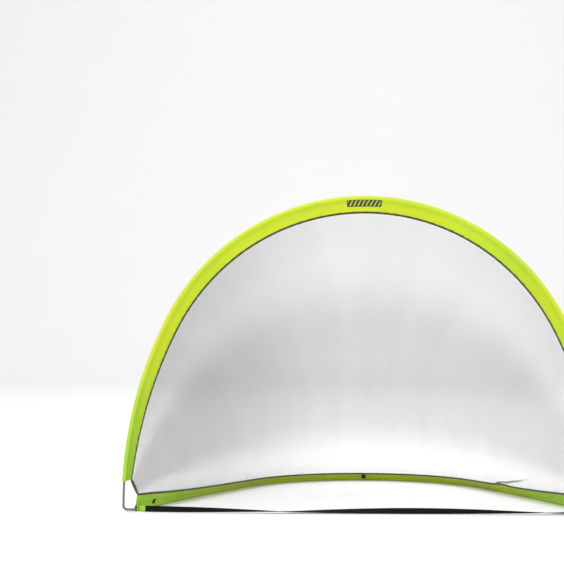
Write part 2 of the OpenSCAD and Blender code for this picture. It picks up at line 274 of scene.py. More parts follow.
# ---------------------------------------------------------------- materials
class Shader:
    """A node material under construction. Values that are sockets are linked, and others are set."""

    def __init__(self, name):
        self.mat = bpy.data.materials.new(name)
        self.mat.use_nodes = True
        self.tree = self.mat.node_tree
        self.bsdf = self.tree.nodes["Principled BSDF"]

    def put(self, socket, value):
        if isinstance(value, bpy.types.NodeSocket):
            self.tree.links.new(value, socket)
        else:
            socket.default_value = value

    def add(self, kind, inputs=(), **properties):
        node = self.tree.nodes.new("ShaderNode" + kind)
        for key, value in properties.items():
            setattr(node, key, value)
        for key, value in dict(inputs).items():
            self.put(node.inputs[key], value)
        return node

    def math(self, operation, a, b=0.0, c=0.0):
        node = self.add("Math", {0: a, 1: b, 2: c}, operation=operation)
        return node.outputs[0]

    def value(self, name):
        return self.add("Attribute", attribute_name=name).outputs["Fac"]

    def cloth_uv(self):
        split = self.add("SeparateXYZ", {0: self.add("UVMap", uv_map="Cloth").outputs[0]})
        return split.outputs[0], split.outputs[1]

    def noise(self, scale, detail=3.0, rough=0.5):
        where = self.add("TexCoord").outputs["Object"]
        return self.add("TexNoise", {"Vector": where, "Scale": scale, "Detail": detail,
                                     "Roughness": rough}).outputs["Fac"]

    def wave(self, x, pitch):
        """A sine of the distance x, once per pitch."""
        return self.math("SINE", self.math("MULTIPLY", x, 2 * math.pi / pitch))

    def mix(self, share, a, b):
        node = self.add("Mix", data_type="RGBA")
        self.put(node.inputs["Factor"], share)
        for socket, value in ((node.inputs[6], a), (node.inputs[7], b)):
            self.put(socket, value if isinstance(value, bpy.types.NodeSocket) else (*value, 1.0))
        return node.outputs[2]

    def ramp(self, x, low, high, out_low=0.0, out_high=1.0):
        return self.add("MapRange", {"Value": x, "From Min": low, "From Max": high, "To Min": out_low,
                                     "To Max": out_high}).outputs[0]

    def bump(self, height, distance, strength=1.0, normal=None):
        inputs = {"Height": height, "Distance": distance, "Strength": strength}
        if normal is not None:
            inputs["Normal"] = normal
        return self.add("Bump", inputs).outputs[0]

    def finish(self, **inputs):
        names = {"color": "Base Color", "rough": "Roughness", "normal": "Normal", "sheen": "Sheen Weight",
                 "sheen_rough": "Sheen Roughness", "specular": "Specular IOR Level", "metal": "Metallic",
                 "alpha": "Alpha", "coat": "Coat Weight", "coat_rough": "Coat Roughness"}
        for key, value in inputs.items():
            socket = self.bsdf.inputs[names[key]]
            if key == "color" and not isinstance(value, bpy.types.NodeSocket):
                value = (*value, 1.0)
            self.put(socket, value)
        return self.mat


def plain_weave(s, u, v, pitch):
    """Over-and-under height of a plain weave with that thread pitch."""
    return s.math("MULTIPLY", s.wave(u, 2 * pitch), s.wave(v, 2 * pitch))


def sleeve_fabric():
    s = Shader("lime_polyester")
    u, v = s.cloth_uv()
    weave = plain_weave(s, u, v, 0.0005)
    slub = s.noise(900, 1)
    broad = s.noise(7, 2)
    tone = s.value("tone")
    fold = s.value("fold")
    # Painted light: the paler, yellower lime mix is the fabric's lit look and the darker, greener mix its shaded look;
    # tone, partly painted light and partly random, blends the two.
    lit_lime = s.mix(s.ramp(broad, 0.35, 0.65), (0.63, 0.72, 0.018), (0.56, 0.74, 0.026))
    shaded_lime = s.mix(s.ramp(broad, 0.35, 0.65), (0.30, 0.62, 0.030), (0.36, 0.66, 0.030))
    color = s.mix(tone, lit_lime, shaded_lime)
    # Painted shade: up to a tenth darker, towards olive, in the hollows of the weave.
    color = s.mix(s.math("MULTIPLY", s.ramp(weave, 0.1, -0.9), 0.10), color, (0.22, 0.33, 0.01))
    # Painted shade: darker in the valleys of the puckers by the seam, as the fold value rises.
    color = s.mix(s.ramp(fold, 0.0, 1.0, 0.0, 0.35), color, (0.34, 0.44, 0.012))
    scuff = s.math("MULTIPLY", s.value("wear"), s.ramp(s.noise(160, 4, 0.7), 0.50, 0.72))
    color = s.mix(s.math("MULTIPLY", scuff, 0.45), color, (0.30, 0.27, 0.13))
    rough = s.ramp(s.math("ADD", slub, s.math("MULTIPLY", scuff, 0.5)), 0.3, 1.0, 0.50, 0.72)
    crinkle = s.bump(s.noise(70, 3, 0.6), 0.0012, 0.35)
    normal = s.bump(s.math("ADD", weave, s.math("MULTIPLY", slub, 0.6)), 0.00012, 0.5, crinkle)
    s.finish(color=color, rough=rough, normal=normal, sheen=0.12, sheen_rough=0.4, specular=0.3)
    through = s.add("BsdfTranslucent", {"Color": color, "Normal": normal})
    both = s.add("MixShader", {0: 0.30, 1: s.bsdf.outputs[0], 2: through.outputs[0]})
    s.put(s.tree.nodes["Material Output"].inputs["Surface"], both.outputs[0])
    return s.mat


def tape(name, hollow_shade, light, rib, cross_rib, fuzz=0.35, sheen=0.2):
    """Narrow woven tape: ribs across it with painted shade in the hollows between them, a finer thread along it, and
    pale fuzz where it is worn.
    """
    s = Shader(name)
    u, v = s.cloth_uv()
    ribs = s.wave(u, rib)
    threads = s.wave(v, cross_rib)
    height = s.math("ADD", ribs, s.math("MULTIPLY", s.math("MULTIPLY", ribs, threads), 0.6))
    lint = s.ramp(s.noise(260, 4, 0.65), 0.55, 0.75)
    # Painted shade: the colour runs from the darker one in the hollows between the ribs to the paler one on their
    # crowns.
    color = s.mix(s.ramp(height, -0.6, 1.2), hollow_shade, light)
    color = s.mix(s.math("MULTIPLY", lint, fuzz), color, tuple(3.0 * c + 0.01 for c in light))
    rough = s.ramp(s.noise(420, 2), 0.3, 0.7, 0.62, 0.85)
    normal = s.bump(height, 0.00022, 0.7, s.bump(s.noise(120, 2), 0.0008, 0.25))
    return s.finish(color=color, rough=rough, normal=normal, sheen=sheen, sheen_rough=0.5, specular=0.7 * sheen + 0.05)


def net_mesh():
    """Fine knitted mesh: threads on the two diagonals, closer together where the cloth is denser."""
    s = Shader("knitted_mesh")
    u, v = s.cloth_uv()
    pitch = 0.0024
    dense = s.value("dense")
    half_width = s.math("MULTIPLY", dense, 0.5)
    shares = []
    for sign in (1, -1):
        along = s.math("MULTIPLY_ADD", v, sign * 1.15, u)
        place = s.math("PINGPONG", s.math("DIVIDE", along, pitch), 0.5)
        shares.append(place)
    nearest = s.math("MINIMUM", shares[0], shares[1])
    thread = s.math("LESS_THAN", nearest, half_width)
    color = s.mix(s.ramp(s.noise(500, 2), 0.35, 0.65), (0.022, 0.022, 0.026), (0.055, 0.055, 0.06))
    height = s.math("SUBTRACT", 1.0, s.math("DIVIDE", nearest, half_width))
    normal = s.bump(height, 0.00012, 0.6)
    rough = s.ramp(s.noise(700, 1), 0.3, 0.7, 0.55, 0.75)
    return s.finish(color=color, rough=rough, normal=normal, alpha=thread, specular=0.3)


def thread(name, color):
    s = Shader(name)
    twist = s.wave(s.noise(30, 1), 0.02)
    shade = s.ramp(s.noise(1500, 2), 0.3, 0.7, 0.0, 0.5)
    return s.finish(color=s.mix(shade, color, tuple(c * 0.45 for c in color)),
                    rough=s.ramp(s.noise(900, 1), 0.3, 0.7, 0.45, 0.7), normal=s.bump(twist, 0.00008, 0.4))


def rod_coat():
    s = Shader("coated_rod")
    scuff = s.ramp(s.noise(190, 5, 0.7), 0.56, 0.68)
    grain = s.noise(1400, 2)
    color = s.mix(s.ramp(grain, 0.3, 0.7), (0.085, 0.085, 0.090), (0.125, 0.125, 0.130))
    color = s.mix(s.math("MULTIPLY", scuff, 0.5), color, (0.30, 0.30, 0.30))
    rough = s.math("ADD", s.ramp(grain, 0.3, 0.7, 0.26, 0.38), s.math("MULTIPLY", scuff, 0.25))
    return s.finish(color=color, rough=rough, normal=s.bump(grain, 0.00006, 0.3), specular=0.5)


def ferrule_steel():
    s = Shader("drawn_steel")
    streak = s.add("TexNoise", {"Vector": s.add("TexCoord").outputs["Object"], "Scale": 600.0,
                                "Detail": 2.0}).outputs["Fac"]
    color = s.mix(s.ramp(streak, 0.3, 0.7), (0.46, 0.46, 0.47), (0.62, 0.62, 0.63))
    return s.finish(color=color, rough=s.ramp(streak, 0.3, 0.7, 0.25, 0.42), metal=1.0,
                    normal=s.bump(streak, 0.00004, 0.3))


def patch_weave():
    """A plain patch with slanting bars in two threads and a whipped edge: no mark of anyone's."""
    s = Shader("woven_patch")
    u, v = s.cloth_uv()
    bars = s.wave(s.math("MULTIPLY_ADD", v, 0.5, u), 0.0105)
    weave = plain_weave(s, u, v, 0.00045)
    edge = s.value("edge")
    bar = s.math("MULTIPLY", s.ramp(bars, 0.30, 0.45), s.math("SUBTRACT", 1.0, edge))
    color = s.mix(bar, (0.012, 0.012, 0.012), (0.42, 0.52, 0.015))
    # Painted shade: up to three tenths darker, towards black, in the hollows of the weave.
    color = s.mix(s.ramp(weave, 0.2, -0.9, 0.0, 0.3), color, (0.006, 0.006, 0.006))
    whip = s.math("MULTIPLY", s.wave(s.math("ADD", u, v), 0.0009), edge)
    normal = s.bump(s.math("ADD", weave, s.math("MULTIPLY", whip, 1.5)), 0.00014, 0.7)
    return s.finish(color=color, rough=s.ramp(s.noise(600, 2), 0.3, 0.7, 0.6, 0.8), normal=normal, sheen=0.2)


LIME = sleeve_fabric()
BINDING = tape("binding_grosgrain", (0.020, 0.024, 0.010), (0.060, 0.070, 0.030), 0.0011, 0.0009)
WEBBING = tape("black_webbing", (0.003, 0.003, 0.0035), (0.009, 0.009, 0.010), 0.0016, 0.0013, 0.2, 0.03)
NET = net_mesh()
DARK_THREAD = thread("dark_thread", (0.030, 0.034, 0.016))
LIME_THREAD = thread("lime_thread", (0.50, 0.66, 0.03))
ROD = rod_coat()
STEEL = ferrule_steel()
PATCH = patch_weave()


def wear(piece, material):
    """Gives a piece its material."""
    piece.data.materials.append(material)
    return piece


for node, coat in (("arch_rod", ROD), ("ground_rod", ROD), ("rod_ferrule", STEEL)):
    part = frame["nodes"][node]
    for place in part.material_slots:
        place.material = coat
    if not part.material_slots:
        part.data.materials.append(coat)


# ---------------------------------------------------------------- angles about the arch's fold, and weights for the cloth
FOLD_DEG = frame["joints"][0]["range_deg"][1]
HINGE_Z = frame["joints"][0]["pos_m"][2]


def back_angle(points):
    """Angle of each point about the fold's axis, in degrees back from upright."""
    return np.degrees(np.arctan2(points[:, 1] - MOUTH_Y, points[:, 2] - HINGE_Z))


def fold_with(piece, weights):
    """Bakes the piece's transform into its mesh. weights is not used."""
    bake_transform(piece)


def sleeve_weights(points, across):
    """Weights of 1 round the rod, falling towards the seam the further the point lies back from upright."""
    return 1 - smooth(across, 0.009, 0.026) * np.clip(back_angle(points), 0, 90) / 90


# ---------------------------------------------------------------- sleeves
STATIONS = 420


def sleeve_profile(thick, tail, r):
    """A folded strip of cloth round a rod, from the seam over the rod and back, as (across, out)."""
    flat = np.array([tail, tail - 0.003, 0.029, 0.0245, 0.020, 0.0165])
    half = np.full(6, thick)
    neck = np.array([[0.0132, thick * 1.15], [0.0095, thick * 1.9], [0.0060, 0.0042]])
    turn = np.radians(np.arange(68, 181, 14))
    over = np.stack([r * np.cos(turn), r * np.sin(turn)], -1)
    upper = np.vstack([np.stack([flat, half], -1), neck, over, [[-r, 0]]])
    return np.vstack([upper, upper[-2::-1] * [1, -1]])


def sleeve(name, curve, length, seed, shade_and_tone_at):
    outside = sleeve_profile(0.0012, SEAM, 0.0052)
    inside = sleeve_profile(0.0007, SEAM - 0.0008, 0.0046)
    d = along(length, STATIONS)
    at, way, across, out = curve(d)
    pinch = ripple(d, (0.011, 0.017, 0.026), seed)[:, None]
    sag = ripple(d, (0.055, 0.083, 0.14), seed + 1)[:, None]
    hem = smooth(length - np.abs(d), 0.0095, 0.0085)[:, None]

    def rings(profile):
        x = profile[:, 0][None, :]
        y = np.broadcast_to(profile[:, 1][None, :], (STATIONS, len(profile))).copy()
        near_seam = smooth(x, 0.014, 0.034)
        belly = smooth(x, 0.006, 0.016) * smooth(x, 0.036, 0.026)
        slant = ripple(d[:, None] + 0.9 * x, (0.038, 0.061, 0.094), seed + 2)
        y += 0.00045 * near_seam * pinch + belly * (0.0007 * sag + 0.0006 * slant)
        y += np.sign(profile[:, 1])[None, :] * 0.0004 * hem
        widened = np.stack([np.broadcast_to(x, y.shape), y], -1)
        return placed(widened, at, way, across, out), y, near_seam

    outer, height, near_seam = rings(outside)
    inner = rings(inside)[0]
    n = len(outside)
    total = STATIONS * n
    rim = []
    for base, flip in ((0, True), (STATIONS - 1, False)):
        for k in range(n):
            a, b = base * n + k, base * n + (k + 1) % n
            quad = [a, b, total + b, total + a]
            rim.append(quad[::-1] if flip else quad)
    faces = [*grid(STATIONS, n, wrap=True), *grid(STATIONS, n, total, wrap=True, flip=True), *rim]
    v = around(outside)
    uvs = [grid_uv(d, v, wrap=True), grid_uv(d, v, wrap=True, flip=True)]
    rim_uv = np.array([[d[f[0] % total // n], v[f[0] % n]] for f in rim for _ in range(4)])
    points = np.concatenate([outer.reshape(-1, 3), inner.reshape(-1, 3)])
    # The fold value is painted shade: it is high in the valleys of the puckers near the seam, where the cloth is
    # pressed in.
    fold = np.clip(-height * np.sign(outside[:, 1])[None, :] * 500 + 0.35, 0, 1) * near_seam
    values = {
        "tone": np.tile(np.repeat(shade_and_tone_at(d, at), n), 2),
        "fold": np.tile(fold.ravel(), 2),
        "wear": smooth(points[:, 2], 0.03, 0.004),
    }
    made = add_mesh(name, points, faces, np.vstack([*uvs, rim_uv]), **values)
    wear(made, LIME)
    across_of = np.tile(outside[:, 0], 2 * STATIONS)
    return made, points, across_of


def arch_shade_and_tone(d, at):
    """Painted light: yellower and paler high on the left, where the light falls, and greener and darker down both legs
    and towards the right as painted shade, with some random unevenness.
    """
    return np.clip(smooth(at[:, 2], 0.42, 0.12) * 0.75 + 0.12 * ripple(d, (0.3, 0.47), 5)
                   + 0.18 * smooth(at[:, 0], -0.2, 0.5), 0, 1)


# Painted light: paler, yellower lime at the back and darker, greener lime towards both hems as painted shade, with
# some random unevenness.
def ground_shade_and_tone(d, at):
    return np.clip(0.9 * smooth(np.abs(d), 0.45, GROUND_LEN) + 0.1 * ripple(d, (0.2, 0.31), 8), 0, 1)


front_cloth, front_points, front_across = sleeve("front_sleeve_cloth", arch, ARCH_LEN, 11, arch_shade_and_tone)
fold_with(front_cloth, sleeve_weights(front_points, front_across))
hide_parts("front_sleeve")

ground_cloth, _, _ = sleeve("ground_sleeve_cloth", ground, GROUND_LEN, 29, ground_shade_and_tone)
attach(ground_cloth, "ground_frame")
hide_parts("ground_sleeve")


# ---------------------------------------------------------------- binding tape along the two seams
def binding(name, curve, length, seed):
    profile = strip_profile(SEAM - 0.0012, SEAM + BINDING_W + GAP, 0.0018)
    d = along(length, STATIONS)
    at, way, across, out = curve(d)
    wave = ripple(d, (0.013, 0.021), seed)[:, None]
    shaped = np.stack([np.broadcast_to(profile[:, 0], (STATIONS, len(profile))) + 0.00025 * wave,
                       profile[:, 1][None, :] + 0.0003 * ripple(d, (0.009, 0.03), seed + 1)[:, None]], -1)
    rings = placed(shaped, at, way, across, out)
    made = solid_sweep(name, rings, d, profile)
    wear(made, BINDING)
    return made, rings.reshape(-1, 3), np.tile(profile[:, 0], STATIONS)


def seam_stitches(name, curve, length, across_at, height, pitch=0.0036):
    """A row of stitches on both faces of a seam."""
    d = np.arange(-length + 0.003, length - 0.002, pitch)
    at, way, across, out = curve(d)
    centres = [at + across_at * across + side * height * out for side in (1, -1)]
    made = stitch_mesh(name, np.vstack(centres), np.vstack([way, way]), np.vstack([out, -out]),
                       0.0027, 0.0006)
    return made, np.vstack(centres)


front_tape, tape_points, tape_across = binding("front_binding_tape", arch, ARCH_LEN, 41)
fold_with(front_tape, sleeve_weights(tape_points, tape_across))
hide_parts("front_binding")
ground_tape, _, _ = binding("ground_binding_tape", ground, GROUND_LEN, 53)
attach(ground_tape, "ground_frame")
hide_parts("ground_binding")


def stitch_weights(centres, across_at):
    per_stitch = sleeve_weights(centres, np.full(len(centres), across_at))
    return np.repeat(per_stitch, 30)


MID_TAPE = SEAM + BINDING_W * 0.45
front_row, front_centres = seam_stitches("front_seam_stitches", arch, ARCH_LEN, MID_TAPE, 0.0020)
fold_with(front_row, stitch_weights(front_centres, MID_TAPE))
wear(front_row, DARK_THREAD)
ground_row, _ = seam_stitches("ground_seam_stitches", ground, GROUND_LEN, MID_TAPE, 0.0020)
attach(ground_row, "ground_frame")
wear(ground_row, DARK_THREAD)


def hem_stitches(name, curve, length):
    """A row across each end of a sleeve, 7 mm from its edge."""
    across_at = np.arange(0.0105, SEAM - 0.002, 0.0030)
    centres, ways, normals = [], [], []
    for end in (-1, 1):
        at, way, across, out = curve(np.full(len(across_at), end * (length - 0.007)))
        for side in (1, -1):
            centres.append(at + across_at[:, None] * across + side * 0.0017 * out)
            ways.append(across)
            normals.append(side * out)
    centres = np.vstack(centres)
    made = stitch_mesh(name, centres, np.vstack(ways), np.vstack(normals), 0.0023, 0.0005)
    wear(made, LIME_THREAD)
    return made, centres, np.tile(across_at, 4)


front_hem, hem_centres, hem_across = hem_stitches("front_hem_stitches", arch, ARCH_LEN)
fold_with(front_hem, np.repeat(sleeve_weights(hem_centres, hem_across), 30))
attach(hem_stitches("ground_hem_stitches", ground, GROUND_LEN)[0], "ground_frame")


# ---------------------------------------------------------------- the net
def net_sheet(s, t):
    """Points of the net, s from -1 to 1 round the goal and t from 0 at the arch to 1 on the ground."""
    arch_at, _, arch_across, _ = arch(s * ARCH_LEN)
    ground_at, _, ground_across, _ = ground(s * GROUND_LEN)
    a = arch_at + (NET_EDGE - 0.002) * arch_across
    g = ground_at + (NET_EDGE - 0.002) * ground_across
    pull = NET_HANDLE * np.linalg.norm(g - a, axis=-1, keepdims=True)
    pull = pull * (1 - 0.9 * np.abs(s)[..., None] ** 24)
    b, c = a + pull * arch_across, g + pull * ground_across
    t = t[..., None]
    q = 1 - t
    return q**3 * a + 3 * q * q * t * b + 3 * q * t * t * c + t**3 * g


def net_normal(points):
    along, down = np.gradient(points, axis=0), np.gradient(points, axis=1)
    n = np.cross(along, down)
    return n / np.linalg.norm(n, axis=-1, keepdims=True)


s_line = np.union1d(along(1, 321), np.linspace(0.50, 0.78, 65))
t_line = np.union1d(np.linspace(0, 1, 81), np.linspace(0.87, 1, 45))
NET_COLS, NET_ROWS = len(s_line), len(t_line)
s_grid, t_grid = np.meshgrid(s_line, t_line, indexing="ij")
net_flat = net_sheet(s_grid, t_grid)
normals = net_normal(net_flat)
u_line = s_line * (ARCH_LEN + GROUND_LEN) / 2
drop = np.linalg.norm(np.diff(net_flat, axis=1), axis=-1)
v_grid = np.concatenate([np.zeros((NET_COLS, 1)), np.cumsum(drop, axis=1)], axis=1)

# Gathers run in from both bindings and die out. A sharp fold leaves the ground seam on the right.
near_arch, near_ground = smooth(t_grid, 0.16, 0.0), smooth(t_grid, 0.90, 1.0)
gathers = ripple(u_line, (0.013, 0.019, 0.031), 61)[:, None]
drapes = ripple(u_line, (0.10, 0.17, 0.26), 62)[:, None]
held = smooth(t_grid, 0.0, 0.03) * smooth(t_grid, 1.0, 0.97)
past, above = s_grid * GROUND_LEN - FOLD_D, v_grid[:, -1:] - v_grid
FOLD_W = 0.0028
fold_line = 0.008 + 0.23 * past - 0.25 * past**2
crease = (np.exp(-((above - fold_line) / FOLD_W) ** 2) * smooth(past, -0.050, -0.020)
          * smooth(past, 0.200, 0.060))
lift = held * (0.0008 * gathers * (near_arch + near_ground) + 0.0035 * drapes
               * np.sin(math.pi * t_grid)) + 0.003 * crease
net_points = net_flat + lift[..., None] * normals
belly = smooth(t_grid, 0.12, 0.34) * smooth(t_grid, 0.86, 0.66)
left, right = smooth(net_flat[..., 0], -0.02, -0.50), smooth(net_flat[..., 0], 0.20, 0.60)
shade = (0.055 + 0.11 * belly + 0.17 * left + 0.05 * right + 0.02 * near_arch + 0.06 * near_ground
         + 0.006 * drapes + 0.75 * crease)
net_faces = grid(NET_COLS, NET_ROWS)
order = [(0, 0), (0, 1), (1, 1), (1, 0)]
net_uv = np.stack([np.stack([np.broadcast_to(u_line[:, None], v_grid.shape)[a:NET_COLS - 1 + a, b:NET_ROWS - 1 + b],
                             v_grid[a:NET_COLS - 1 + a, b:NET_ROWS - 1 + b]], -1) for a, b in order], 2)
net = add_mesh("net_cloth", net_points, net_faces, net_uv.reshape(-1, 2), dense=shade)
wear(net, NET)


def net_weights(points, s, t):
    """Weights falling from the arch's seam to the ground's, by angle about the fold's axis where the two seams lie far
    apart in angle and by t where they lie close.
    """
    first, _, _ = arch_seam(s)
    last = ground(s * GROUND_LEN)
    low = back_angle(first)
    high = back_angle(last[0] + NET_EDGE * last[2])
    here = back_angle(points)
    spread = high - low
    by_angle = np.clip((here - low) / np.where(np.abs(spread) < 1, 1, spread), 0, 1)
    share = smooth(spread, 15, 40)
    moved = share * by_angle + (1 - share) * t
    return (1 - low / 90) * (1 - moved)


def arch_seam(s):
    at, way, across, _ = arch(s * ARCH_LEN)
    return at + NET_EDGE * across, way, across


fold_with(net, net_weights(net_points.reshape(-1, 3), s_grid.ravel(), t_grid.ravel()))
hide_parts("net")


# ---------------------------------------------------------------- tape on the net's two open edges
CORNER_STEPS = 40
for name, side in (("left", -1), ("right", 1)):
    t = np.linspace(0.02, 0.98, CORNER_STEPS)
    s = np.full(CORNER_STEPS, float(side))
    at = net_sheet(s, t)
    way = np.gradient(at, axis=0)
    way /= np.linalg.norm(way, axis=1, keepdims=True)
    inner = net_sheet(s * 0.995, t)
    edge = at - inner
    edge -= (edge * way).sum(1, keepdims=True) * way
    edge /= np.linalg.norm(edge, axis=1, keepdims=True)
    profile = strip_profile(-0.0030, BINDING_W + GAP, 0.0011)
    rings = placed(profile, at, way, edge, np.cross(way, edge))
    tape_piece = solid_sweep(f"{name}_corner_tape", rings, np.linspace(0, 0.06, CORNER_STEPS), profile)
    wear(tape_piece, BINDING)
    n = len(profile)
    fold_with(tape_piece, net_weights(rings.reshape(-1, 3), np.repeat(s, n), np.repeat(t, n)))
    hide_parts(f"{name}_corner_binding")


# ---------------------------------------------------------------- strap across the mouth
STRAP_W, STRAP_TWIST, STRAP_START = 0.015, math.radians(300), math.radians(80)
STRAP_FRONT = 0.016
STRAP_HALF, STRAP_END_Y = HALF_W - HEM_INSET - 0.025, MOUTH_Y - 0.002
f = np.linspace(0, 1, 241)
turn = STRAP_START + STRAP_TWIST * f
strap_at = stack(STRAP_HALF * (2 * f - 1),
                 MOUTH_Y - STRAP_FRONT + (STRAP_END_Y - MOUTH_Y + STRAP_FRONT) * (2 * f - 1) ** 6,
                 0.3 * STRAP_W + 0.25 * STRAP_W * np.abs(np.sin(turn)))
strap_wide = stack(0, np.cos(turn), np.sin(turn))
strap_thin = stack(0, -np.sin(turn), np.cos(turn))
strap_profile = strip_profile(-STRAP_W / 2, STRAP_W / 2, WEBBING_T / 2, 0.5, 2)
strap_rings = placed(strap_profile, strap_at, None, strap_wide, strap_thin)
strap = solid_sweep("mouth_strap_webbing", strap_rings, STRAP_HALF * 2 * f, strap_profile)
wear(strap, WEBBING)
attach(strap, "ground_frame")
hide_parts("mouth_strap")


def strap_tab(name, node, side):
    """A tab of sleeve fabric, spread along the sleeve beside its hem and drawn together at the strap."""
    d = GROUND_LEN - 0.014 + np.linspace(-0.009, 0.009, 13)
    at, _, across, _ = ground(d)
    inward = across[:, :2] / np.linalg.norm(across[:, :2], axis=1, keepdims=True)
    face = at[:, :2] + (SLEEVE_R + GAP) * inward
    tip = np.array([STRAP_HALF - 0.0012, STRAP_END_Y])
    share = np.linspace(0, 1, 12)[1:, None]
    draw = share**0.85
    front = face[-1] * (1 - draw) + (tip + [0, -0.0016]) * draw
    back = face[0] * (1 - draw) + (tip + [0, 0.0016]) * draw
    outline = np.vstack([face, front, back[::-1]])
    middle = outline.mean(0)
    z = 0.0001 + 0.0150 * np.linspace(0, 1, 13)
    rings = []
    for k, height in enumerate(z):
        round_off = 0.05 * abs(2 * k / 12 - 1) ** 6
        pleat = 0.00025 * np.sin(outline[:, 0] * 1500 + height * 260)
        ring = outline + (middle - outline) * round_off + np.stack([0 * pleat, pleat], -1)
        rings.append(np.column_stack([side * ring[:, 0], ring[:, 1], np.full(len(ring), height)]))
    rings = np.array(rings)
    if side > 0:
        rings = rings[:, ::-1]
    # A tone of 0.9 gives the tab the darker, greener painted-shade mix of the sleeve's low parts.
    made = solid_sweep(name, rings, z, outline[::-1] if side > 0 else outline,
                       tone=np.full(rings.shape[0] * rings.shape[1], 0.9), wear=smooth(rings[..., 2], 0.02, 0.0))
    wear(made, LIME)
    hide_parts(node)
    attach(made, "ground_frame")
    run = tip + [0, -0.0016] - face[-1]
    normal = np.array([run[1], -run[0], 0]) / np.linalg.norm(run)
    normal = normal if normal[1] < 0 else -normal
    spots = [(0.72, 0.0025 + 0.0024 * k) for k in range(5)] + [(0.90, 0.0025 + 0.0024 * k) for k in range(5)]
    centres = np.array([[*(face[-1] + run * share), height] for share, height in spots]) + 0.0002 * normal
    tack = stitch_mesh(f"{name}_tack", centres * [side, 1, 1], np.tile(UP, (10, 1)),
                       np.tile(normal * [side, 1, 1], (10, 1)), 0.0019, 0.0005)
    wear(tack, LIME_THREAD)
    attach(tack, "ground_frame")


strap_tab("left_strap_tab", "left_strap_anchor", -1)
strap_tab("right_strap_tab", "right_strap_anchor", 1)


# ---------------------------------------------------------------- webbing sewn to the sleeves
def ground_pad(name, node, d, half_l, near, thick, side=1.0, curve=ground, material=None,
               rounds=9, edge_of=None):
    """A piece of webbing that lies on a sleeve, with softened edges. near is its underside."""
    near = np.asarray(near, float)
    steps = np.linspace(0, 1, 24)
    knots = np.linspace(0, 1, len(near))
    under = np.stack([np.interp(steps, knots, near[:, i]) for i in (0, 1)], -1)
    slopes = np.gradient(under, axis=0)
    lift = np.stack([-slopes[:, 1], slopes[:, 0]], -1)
    lift /= np.linalg.norm(lift, axis=1, keepdims=True)
    crown = np.sqrt(np.clip(1 - (2 * steps - 1) ** 8, 0, 1))[:, None]
    along = np.linspace(-1, 1, 4 * rounds + 1)
    fade = np.sqrt(np.clip(1 - np.abs(along) ** 10, 0, 1))
    rings = []
    for place, full in zip(along, fade):
        upper = under + lift * thick * (0.25 + 0.75 * crown * full)
        profile = np.vstack([under, upper[::-1]]) * [1, side]
        at, way, across, out = curve(np.array([d + place * half_l]))
        rings.append(placed(profile, at, way, across, out)[0])
    rings = np.array(rings)
    if side < 0:
        rings = rings[:, ::-1]
    values = {}
    if edge_of:
        u, w = np.meshgrid(np.abs(along), np.abs(2 * np.concatenate([steps, steps[::-1]]) - 1), indexing="ij")
        if side < 0:
            w = w[:, ::-1]
        values["edge"] = np.maximum(smooth(u, 1 - edge_of / half_l * 1.2, 1 - edge_of / half_l),
                                    smooth(w, 0.80, 0.86))
    made = solid_sweep(name, rings, d + along * half_l, profile[::-1] if side < 0 else profile, **values)
    wear(made, material or WEBBING)
    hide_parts(node)
    return made


SIDE_LOOP_D = GROUND_LEN - 0.082
LOOPS = (("left", -SIDE_LOOP_D, 0.020), ("right", SIDE_LOOP_D, 0.020), ("rear", 0.0, 0.034))
for name, d, far in LOOPS:
    near = [[0.0080, 0.0034], [0.0132, 0.0016], [far, 0.0015]]
    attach(ground_pad(f"{name}_loop_tab", f"{name}_loop_patch", d, LOOP_W / 2, near, WEBBING_T), "ground_frame")


def box_stitches(name, d, half_l, low, high, height, side=1.0):
    """A sewn rectangle with its two diagonals, as webbing is tacked down."""
    corners = [(-half_l, low), (half_l, low), (half_l, high), (-half_l, high), (-half_l, low),
               (half_l, high), (half_l, low), (-half_l, high)]
    spots, ways = [], []
    for (x0, y0), (x1, y1) in zip(corners, corners[1:]):
        run = math.hypot(x1 - x0, y1 - y0)
        for k in range(max(2, int(run / 0.0024))):
            share = (k + 0.5) / max(2, int(run / 0.0024))
            spots.append((x0 + (x1 - x0) * share, y0 + (y1 - y0) * share))
            ways.append(((x1 - x0) / run, (y1 - y0) / run))
    spots, ways = np.array(spots), np.array(ways)
    at, way, across, out = ground(d + spots[:, 0])
    lift = np.interp(spots[:, 1], [0.002, 0.005, 0.0132, 0.017, 0.034], np.asarray(height))
    centres = at + spots[:, 1:2] * across + side * lift[:, None] * out
    made = stitch_mesh(name, centres, ways[:, 0:1] * way + ways[:, 1:2] * across, side * out, 0.0019, 0.0005)
    wear(made, DARK_THREAD)
    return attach(made, "ground_frame")


PATCH_LIFT = [0.0064, 0.0054, 0.0033, 0.0032, 0.0032]
for name, d, far in LOOPS:
    box_stitches(f"{name}_patch_stitches", d, 0.0042, far - (0.0085 if far < 0.03 else 0.0205), far - 0.0020, PATCH_LIFT)


